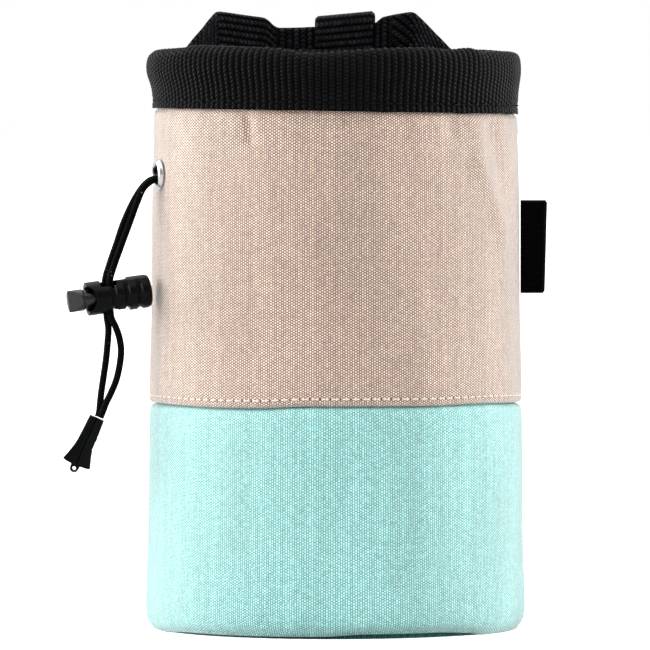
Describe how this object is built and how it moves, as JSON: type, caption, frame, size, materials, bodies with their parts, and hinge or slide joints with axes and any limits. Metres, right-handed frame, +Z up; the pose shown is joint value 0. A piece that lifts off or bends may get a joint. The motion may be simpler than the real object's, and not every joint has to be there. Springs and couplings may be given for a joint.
{
  "type": "climbing chalk bag",
  "caption": "Open cylindrical cloth chalk bag with a webbing-bound mouth, a drawcord with a spring lock through an eyelet, a belt loop and strap at the back.",
  "frame": {"origin": "middle of the base, on the surface that the bag stands on", "axes": "+Z up along the bag, -Y out of its front, +X to the front's right"},
  "size_m": [0.1441, 0.1212, 0.1857],
  "materials": {
    "tan_cloth": "plain weave of pale and brown yarns, matte",
    "mint_cloth": "plain weave of mint and dark yarns, matte",
    "base_cloth": "dark green plain cloth, matte",
    "casing_tape": "plain tape, matte",
    "black_webbing": "ribbed black webbing with a slight sheen",
    "black_cord": "fine braid, matte",
    "black_plastic": "moulded black plastic, satin",
    "button_plastic": "moulded dark grey plastic, satin",
    "silver": "bright plated metal"
  },
  "bodies": {
    "bag": {"upper_panel": "tan_cloth", "lower_panel": "mint_cloth", "base_panel": "base_cloth", "rim_binding": "black_webbing", "cord_casing": "casing_tape", "back_strap": "black_webbing", "belt_loop": "black_webbing", "side_tab": "black_webbing", "eyelet": "silver", "drawcord_1": "black_cord", "drawcord_2": "black_cord", "lock_barrel": "black_plastic", "cord_end": "black_plastic"},
    "plunger": {"lock_button": "button_plastic"}
  },
  "joints": [
    {"name": "button_press", "type": "slide", "parent": "bag", "child": "plunger", "axis": [0.9696, 0.2061, 0.1323], "range_m": [0, 0.0036], "stiffness_N_per_m": 500, "springref_m": -0.004}
  ]
}
